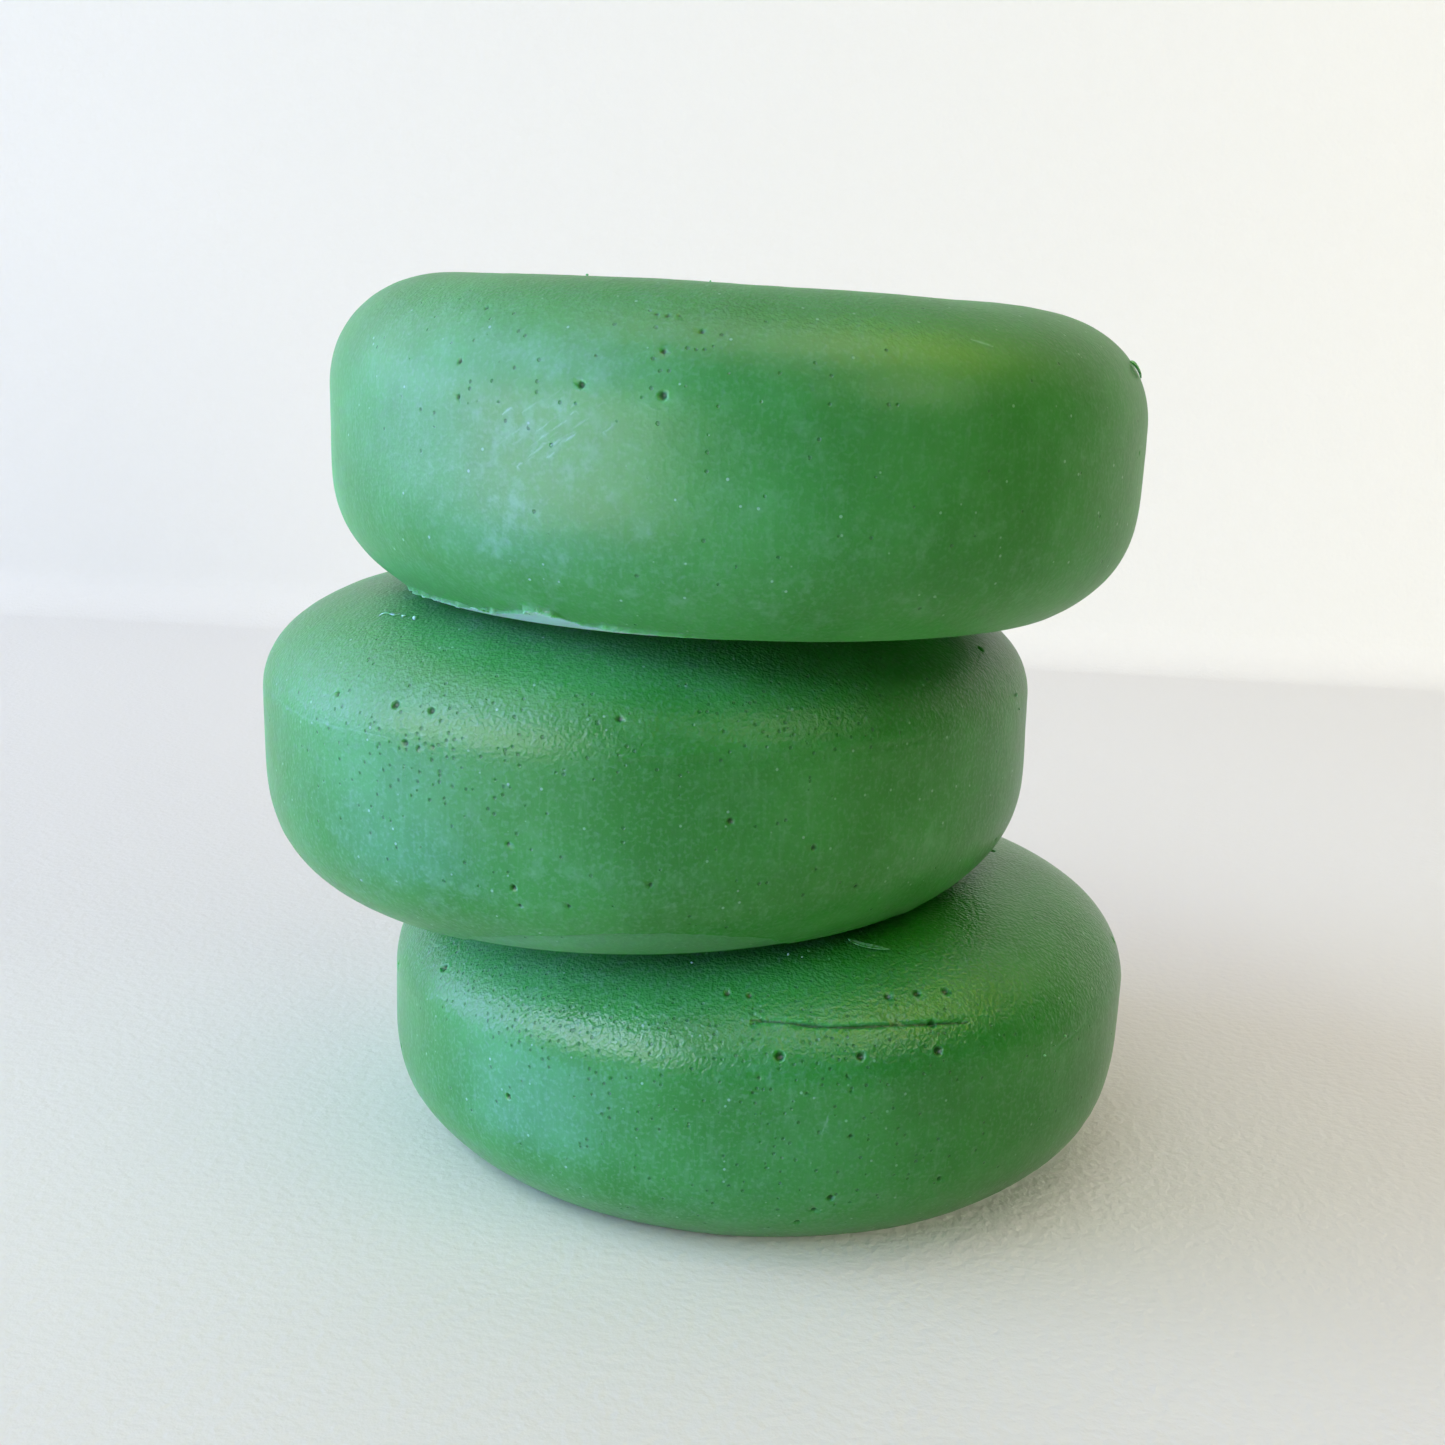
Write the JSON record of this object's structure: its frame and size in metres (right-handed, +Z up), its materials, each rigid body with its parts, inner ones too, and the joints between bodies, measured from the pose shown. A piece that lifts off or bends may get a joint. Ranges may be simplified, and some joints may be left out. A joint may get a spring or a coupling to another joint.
{
  "type": "shaving soap puck stack",
  "caption": "Stack of hand-poured green shaving soap pucks: short discs with a flat pour face, an upright side and a rounded shoulder, each lifting off the one below.",
  "frame": {"origin": "centre of the bottom puck's pour face, on the surface that the stack stands on", "axes": "+Z up along the bottom puck's own axis; the middle puck is shifted towards -X; +X and -Y face the viewer's right and the viewer"},
  "size_m": [0.0871, 0.0826, 0.0833],
  "materials": {
    "soap": "satin, slightly translucent green soap with fine pits and a pebbled skin"
  },
  "bodies": {
    "bottom_puck": {"bottom_puck": "soap"},
    "middle_puck": {"middle_puck": "soap"},
    "top_puck": {"top_puck": "soap"}
  },
  "joints": [
    {"name": "middle_lift", "type": "slide", "parent": "bottom_puck", "child": "middle_puck", "axis": [-0.025, 0, 0.9997], "range_m": [0, 0.03]},
    {"name": "top_lift", "type": "slide", "parent": "middle_puck", "child": "top_puck", "axis": [-0.01, 0, 1], "range_m": [0, 0.03]}
  ]
}
